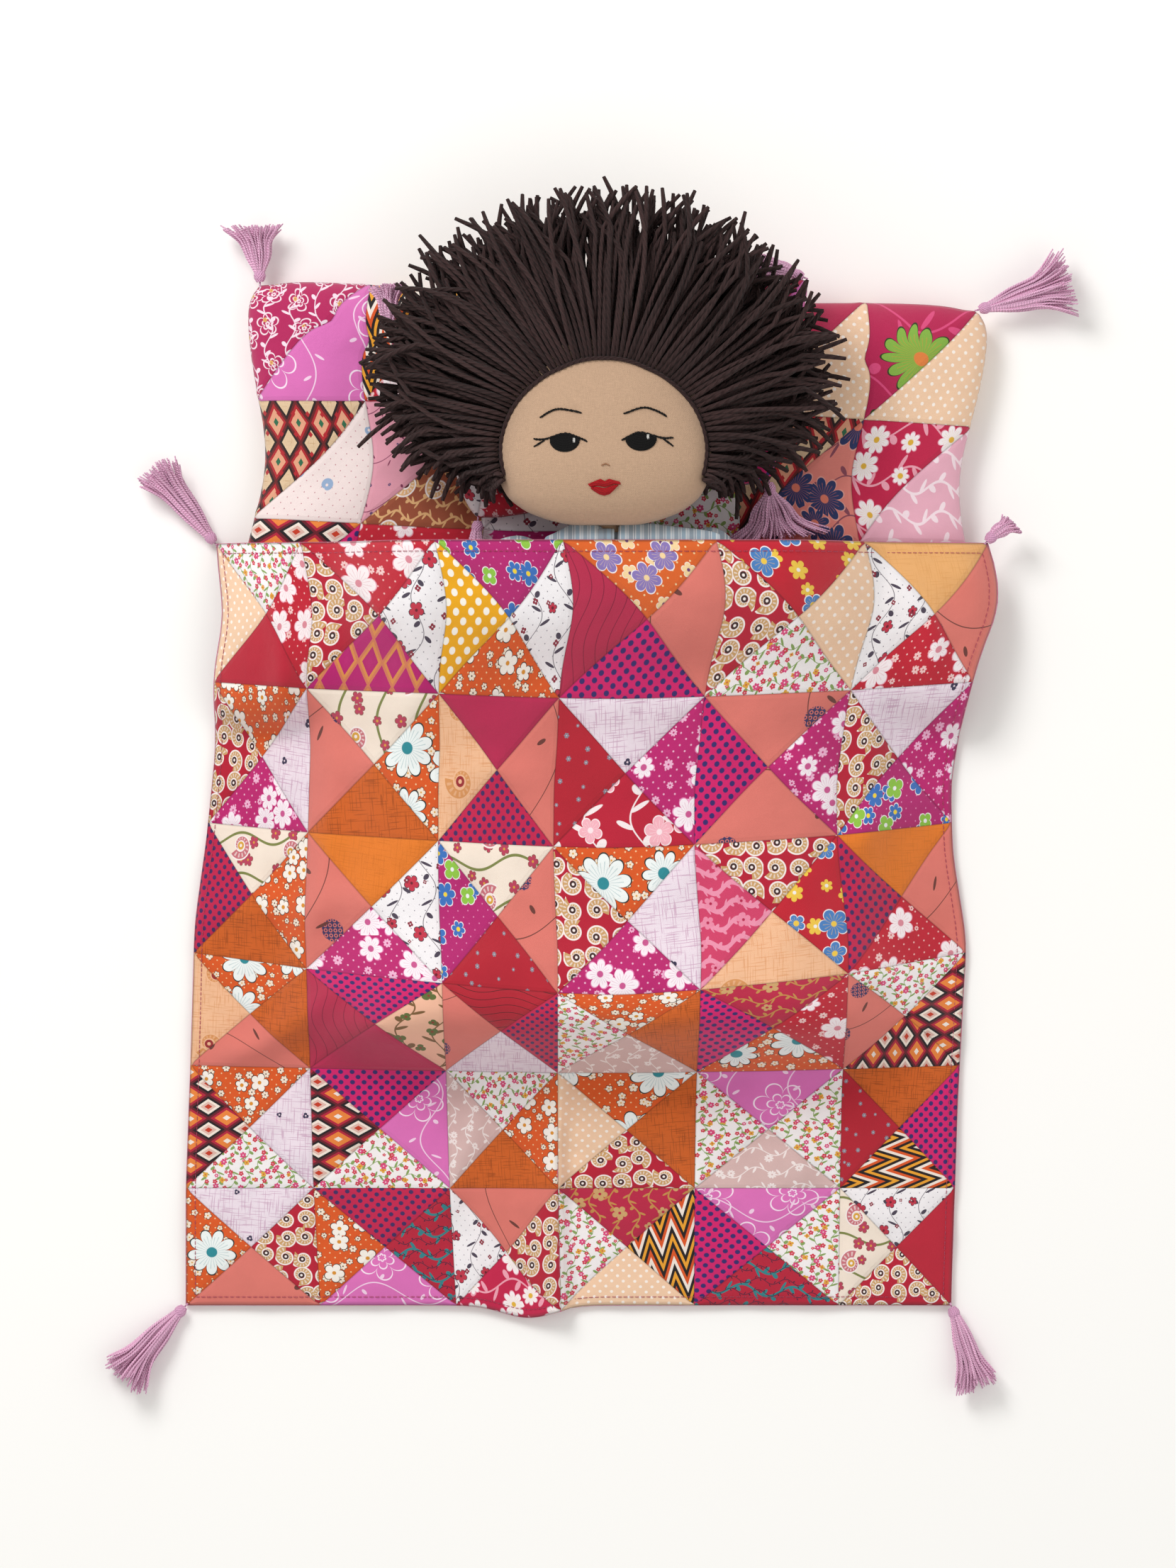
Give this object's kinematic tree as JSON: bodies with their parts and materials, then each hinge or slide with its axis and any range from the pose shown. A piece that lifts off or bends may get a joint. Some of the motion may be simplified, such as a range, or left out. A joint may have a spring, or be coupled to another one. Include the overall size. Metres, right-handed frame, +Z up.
{
  "type": "rag doll with patchwork bedding",
  "caption": "Stuffed cloth doll with a yarn wig and jointed limbs, tucked under a patchwork quilt with its head on tasselled cushions.",
  "frame": {"origin": "middle of the set's plan box, on the surface that the bedding lies on", "axes": "+Y towards the crown of the doll's head, +X to the doll's left, +Z up out of its face"},
  "size_m": [0.5528, 0.6811, 0.1405],
  "materials": {
    "patchwork": "matte cotton prints in small triangles",
    "stuffing": "loose polyester fibre",
    "tassel_thread": "soft cotton thread",
    "binding_thread": "tightly wound thread",
    "skin_cotton": "matte plain-woven cotton",
    "pyjama_cotton": "matte striped cotton",
    "collar_cotton": "matte striped cotton",
    "button": "satin",
    "dark_thread": "satin embroidery thread",
    "white_thread": "satin embroidery thread",
    "tan_thread": "embroidery thread",
    "red_thread": "satin embroidery thread",
    "hair_yarn": "matte plied wool yarn",
    "hair_weft": "couched yarn",
    "backing_cotton": "matte plain-woven cotton"
  },
  "bodies": {
    "big_pillow": {"pillow_cover": "patchwork", "pillow_filling": "stuffing", "pillow_tassels": "tassel_thread", "pillow_tassel_bindings": "binding_thread"},
    "small_pillow": {"small_pillow_cover": "patchwork", "small_pillow_filling": "stuffing", "small_pillow_tassels": "tassel_thread", "small_pillow_tassel_bindings": "binding_thread"},
    "torso": {"torso_cover": "skin_cotton", "torso_filling": "stuffing", "pyjama_shirt": "pyjama_cotton", "shirt_collar": "collar_cotton", "shirt_buttons": "button", "pyjama_seat": "pyjama_cotton"},
    "neck": {"neck": "skin_cotton"},
    "head": {"head_cover": "skin_cotton", "head_filling": "stuffing", "eyebrows": "dark_thread", "eyes": "dark_thread", "eye_lights": "white_thread", "nose": "tan_thread", "lips": "red_thread", "hair_yarn": "hair_yarn", "hair_weft": "hair_weft"},
    "left_arm": {"left_arm_cover": "skin_cotton", "left_arm_filling": "stuffing", "left_sleeve": "pyjama_cotton"},
    "right_arm": {"right_arm_cover": "skin_cotton", "right_arm_filling": "stuffing", "right_sleeve": "pyjama_cotton"},
    "left_leg": {"left_leg_cover": "skin_cotton", "left_leg_filling": "stuffing", "left_trouser_leg": "pyjama_cotton"},
    "right_leg": {"right_leg_cover": "skin_cotton", "right_leg_filling": "stuffing", "right_trouser_leg": "pyjama_cotton"},
    "quilt": {"quilt_top": "patchwork", "quilt_backing": "backing_cotton", "quilt_tassels": "tassel_thread", "quilt_tassel_bindings": "binding_thread"}
  },
  "joints": [
    {"name": "small_pillow_lift", "type": "slide", "parent": "big_pillow", "child": "small_pillow", "axis": [0, 0, 1], "range_m": [0, 0.1]},
    {"name": "doll_lift", "type": "slide", "parent": "small_pillow", "child": "torso", "axis": [0, 0, 1], "range_m": [0, 0.15]},
    {"name": "quilt_lift", "type": "slide", "parent": "torso", "child": "quilt", "axis": [0, 0, 1], "range_m": [0, 0.15], "deforming": ["quilt_top", "quilt_backing"]},
    {"name": "neck_nod", "type": "hinge", "parent": "torso", "child": "neck", "pos_m": [0.0094, 0.146, 0.086], "axis": [1, 0, 0], "range_deg": [0, 12]},
    {"name": "head_tilt", "type": "hinge", "parent": "neck", "child": "head", "pos_m": [0.0094, 0.146, 0.086], "axis": [0, 0, 1], "range_deg": [-8, 8]},
    {"name": "left_shoulder", "type": "hinge", "parent": "torso", "child": "left_arm", "pos_m": [0.0666, 0.134, 0.0755], "axis": [0, -0.515, 0.8572], "range_deg": [0, 18]},
    {"name": "right_shoulder", "type": "hinge", "parent": "torso", "child": "right_arm", "pos_m": [-0.0418, 0.134, 0.0755], "axis": [0, 0.515, -0.8572], "range_deg": [0, 18]},
    {"name": "left_hip", "type": "hinge", "parent": "torso", "child": "left_leg", "pos_m": [0.0325, 0.028, 0.0184], "axis": [0, 0, 1], "range_deg": [0, 10]},
    {"name": "right_hip", "type": "hinge", "parent": "torso", "child": "right_leg", "pos_m": [-0.0077, 0.028, 0.0184], "axis": [0, 0, -1], "range_deg": [0, 10]}
  ]
}
